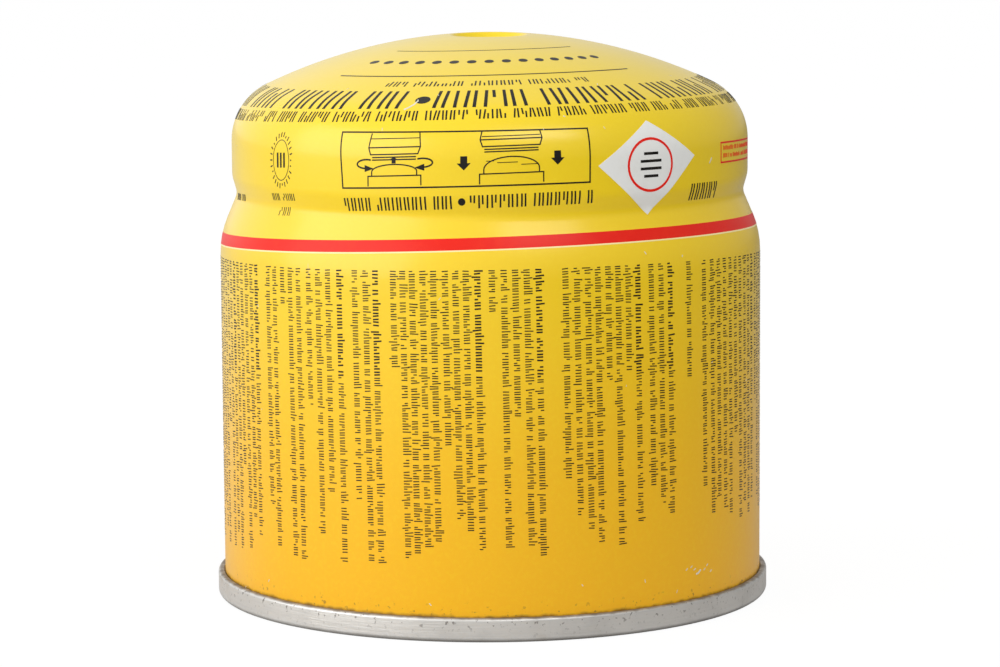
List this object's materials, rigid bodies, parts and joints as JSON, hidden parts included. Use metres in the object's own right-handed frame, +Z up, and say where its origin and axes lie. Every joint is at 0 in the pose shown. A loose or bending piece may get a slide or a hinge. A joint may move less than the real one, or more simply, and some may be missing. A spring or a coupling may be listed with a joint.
{
  "type": "fuel canister",
  "caption": "Squat round pierceable gas can with a domed top, a groove under the dome and a double-seamed, inward-domed base.",
  "frame": {"origin": "centre of the seam's foot, on the surface that the can stands on", "axes": "+Z up along the can's axis of revolution; the printed side that the picture shows faces -Y, and +X is to its right"},
  "size_m": [0.0922, 0.0922, 0.0932],
  "materials": {
    "yellow_lacquer": "glossy printed lacquer, lemon at the dome and orange-yellow at the base, lightly scuffed",
    "tinplate": "bare tinplate, dull and slightly stained at the seam",
    "black_ink": "printed ink under the lacquer",
    "red_ink": "printed ink under the lacquer",
    "label_film": "thin satin sticker film"
  },
  "bodies": {
    "root": {"canister": "yellow_lacquer"}
  },
  "joints": []
}
